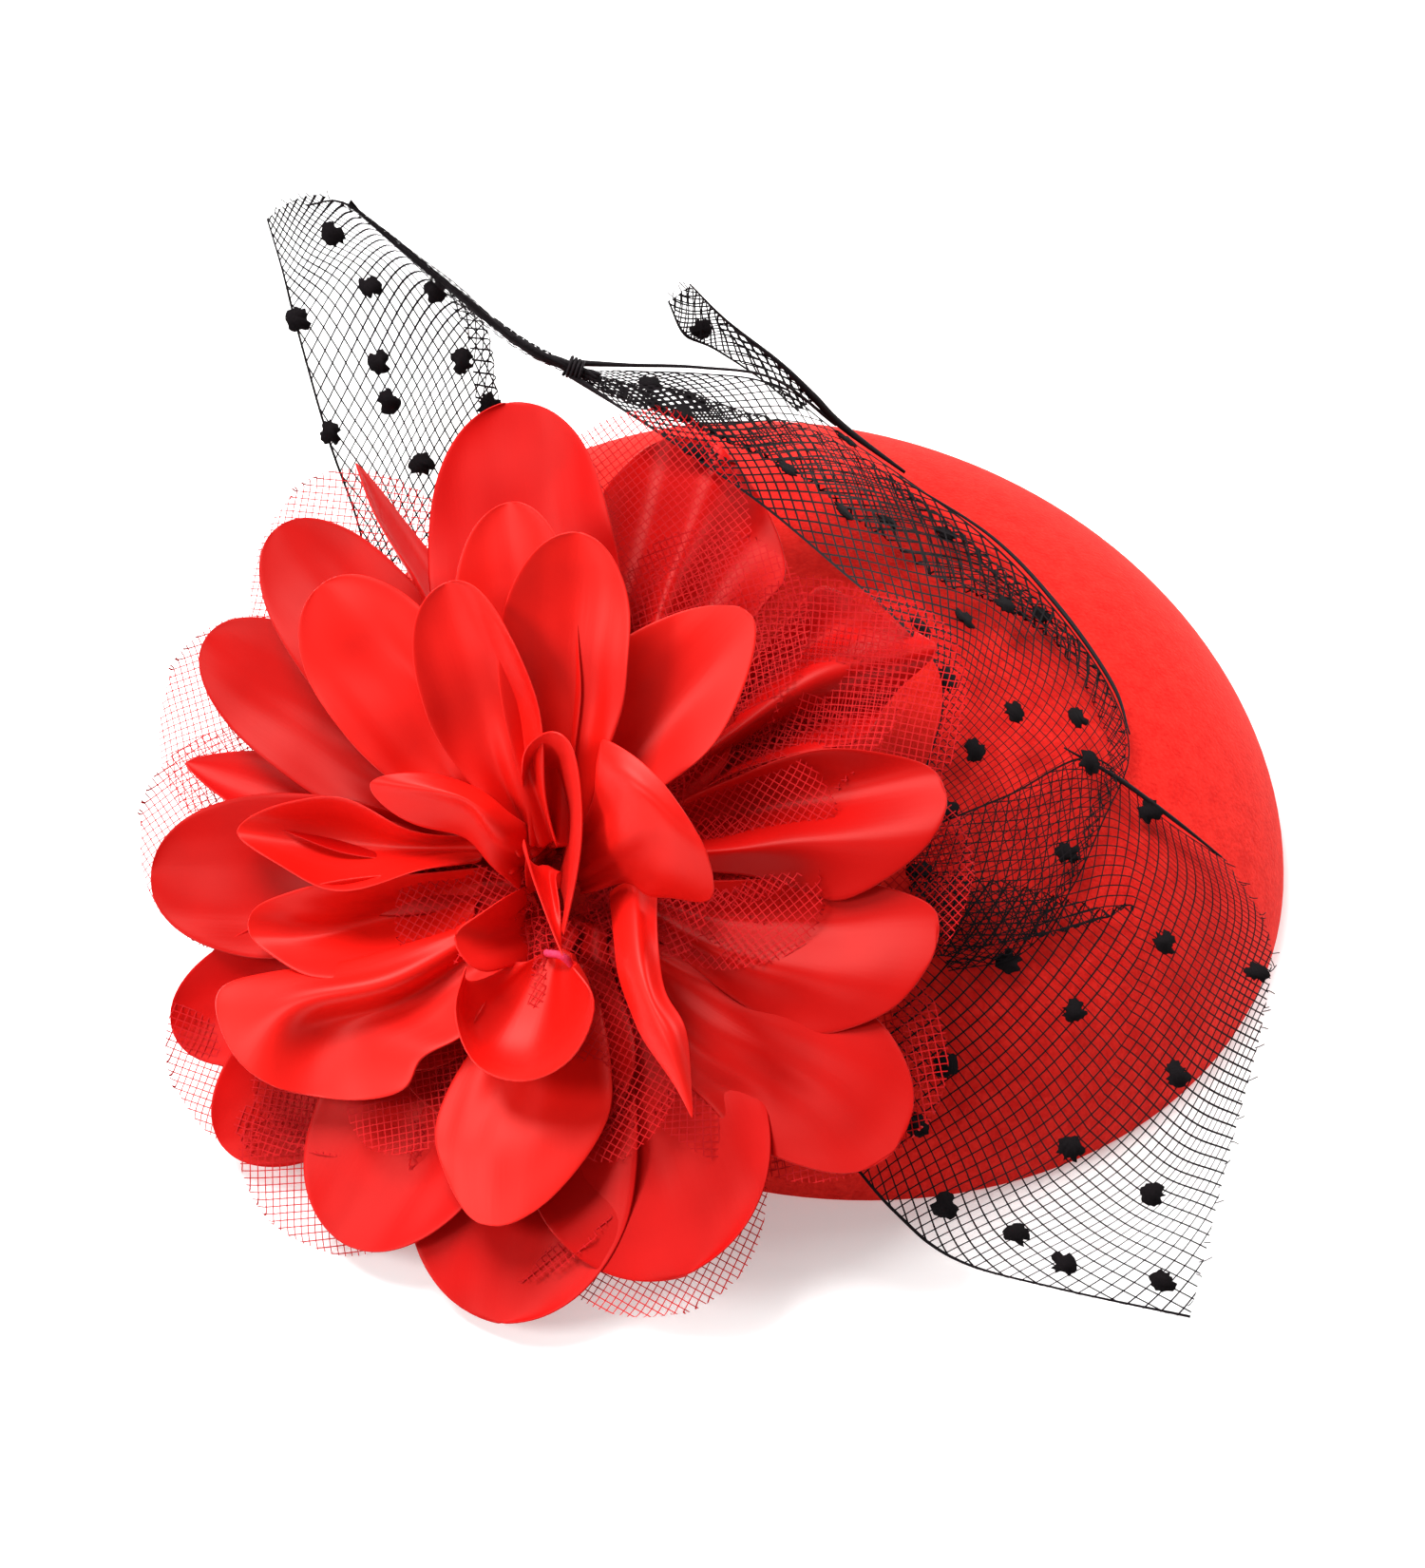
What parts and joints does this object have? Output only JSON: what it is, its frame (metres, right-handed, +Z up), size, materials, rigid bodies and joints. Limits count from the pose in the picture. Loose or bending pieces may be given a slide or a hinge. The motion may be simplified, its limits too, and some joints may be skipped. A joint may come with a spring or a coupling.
{
  "type": "fascinator headpiece",
  "caption": "Oval felt fascinator cap with a many-layered satin and tulle flower, a dotted net veil and spring clips recessed in its hollow.",
  "frame": {"origin": "centre of the cap's rim, on the plane the cap stands on", "axes": "+Z up out of the cap's crown, X across the cap's width with the flower on the -X side, Y along the cap's length with the wearer's front at -Y"},
  "size_m": [0.1668, 0.1783, 0.0763],
  "materials": {
    "felt_red": "fuzzy pressed felt",
    "ribbon_red": "matt ribbon and felt",
    "satin_red": "glossy satin",
    "tulle_red": "fine sheer tulle",
    "net_black": "open net with flocked dots",
    "steel": "nickel-plated sheet steel",
    "buckram": "stiffened canvas",
    "thread_pink": "sewing thread"
  },
  "bodies": {
    "headpiece": {"crown_shell": "felt_red", "rim_wire": "steel", "rim_tape": "ribbon_red", "lining_felt": "ribbon_red", "insert_plate": "buckram", "clip_front_patch": "ribbon_red", "clip_front_top_jaw": "steel", "clip_front_pin": "steel", "clip_front_spring": "steel", "clip_back_patch": "ribbon_red", "clip_back_top_jaw": "steel", "clip_back_pin": "steel", "clip_back_spring": "steel", "flower_disc": "felt_red", "petal_layer_1": "satin_red", "petal_layer_2": "satin_red", "petal_layer_3": "satin_red", "petal_layer_4": "satin_red", "petal_layer_5": "satin_red", "petal_layer_6": "satin_red", "petal_layer_7": "satin_red", "tulle_layer_1": "tulle_red", "tulle_layer_2": "tulle_red", "tulle_layer_3": "tulle_red", "tulle_layer_4": "tulle_red", "flower_knot": "thread_pink", "veil_sail": "net_black", "veil_band": "net_black", "veil_tail": "net_black", "veil_fan": "net_black", "veil_twist_thread": "net_black", "veil_gather_knot": "net_black"},
    "clip_front_jaw": {"clip_front_lower_jaw": "steel"},
    "clip_back_jaw": {"clip_back_lower_jaw": "steel"}
  },
  "joints": [
    {"name": "clip_front_hinge", "type": "hinge", "parent": "headpiece", "child": "clip_front_jaw", "pos_m": [0.008, -0.031, 0.0062], "axis": [0, -1, 0], "range_deg": [0, 20], "stiffness_Nm_per_rad": 0.03, "springref_deg": -28.65, "deforming": ["clip_front_spring"]},
    {"name": "clip_back_hinge", "type": "hinge", "parent": "headpiece", "child": "clip_back_jaw", "pos_m": [0.008, 0.031, 0.0062], "axis": [0, -1, 0], "range_deg": [0, 20], "stiffness_Nm_per_rad": 0.03, "springref_deg": -28.65, "deforming": ["clip_back_spring"]}
  ]
}
